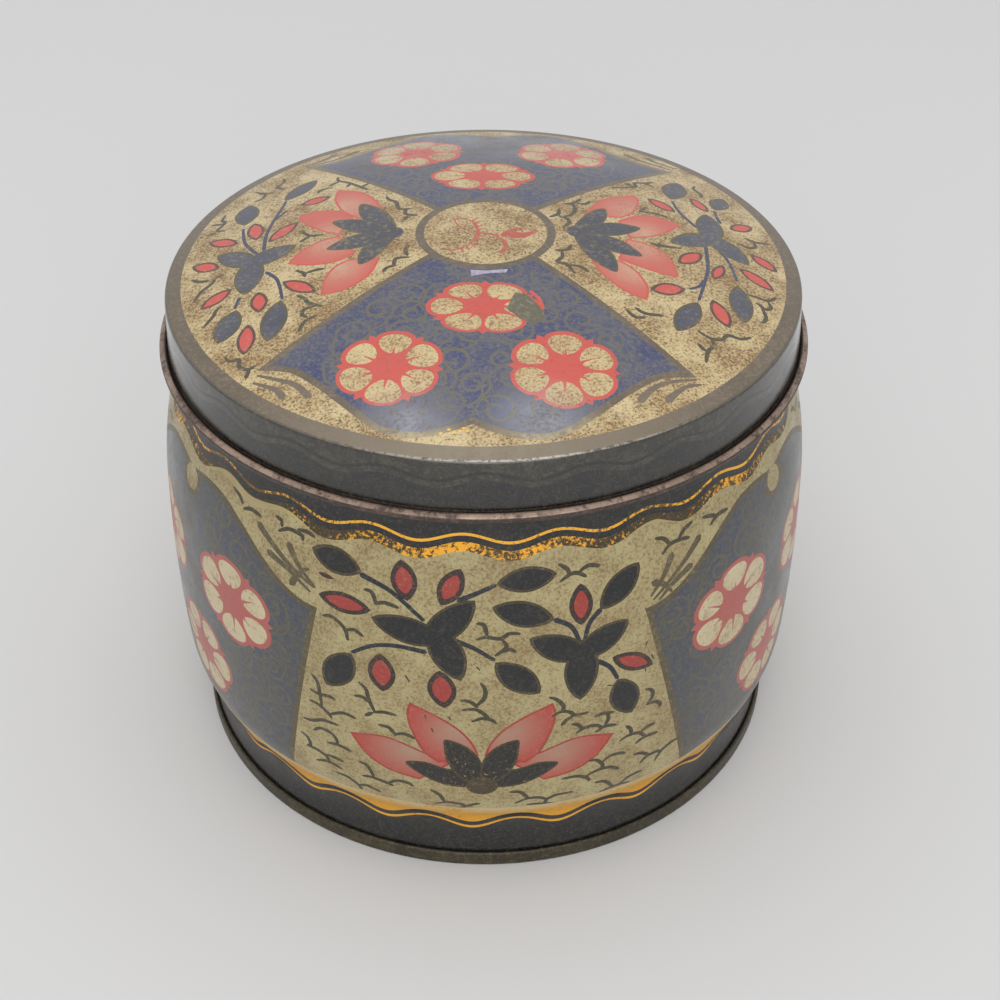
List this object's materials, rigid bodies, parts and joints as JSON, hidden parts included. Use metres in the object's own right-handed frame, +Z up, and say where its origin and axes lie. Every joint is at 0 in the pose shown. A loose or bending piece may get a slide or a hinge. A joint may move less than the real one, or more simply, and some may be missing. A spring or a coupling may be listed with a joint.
{
  "type": "biscuit tin",
  "caption": "Round tinplate biscuit tin with a swelling printed body, a seamed-on base and a domed lid that slips over the neck and lifts off.",
  "frame": {"origin": "centre of the base ring, on the surface that the tin stands on", "axes": "+Z up along the tin's axis, -Y towards the front panel seen in the picture, +X to its right"},
  "size_m": [0.1608, 0.1608, 0.1349],
  "materials": {
    "body_print": "aged gloss print in dark blue, cream, coral and gold inks",
    "base_metal": "olive-brown lacquer, worn",
    "lid_print": "aged gloss print in cream, dark blue, coral and olive inks",
    "wire_steel": "bare drawn wire, shut inside the lid's rolled edge"
  },
  "bodies": {
    "tin": {"body_wall": "body_print", "base_pan": "base_metal"},
    "lid": {"lid_shell": "lid_print", "lid_wire": "wire_steel"}
  },
  "joints": [
    {"name": "lid_lift", "type": "slide", "parent": "tin", "child": "lid", "axis": [0, 0, 1], "range_m": [0, 0.1]}
  ]
}
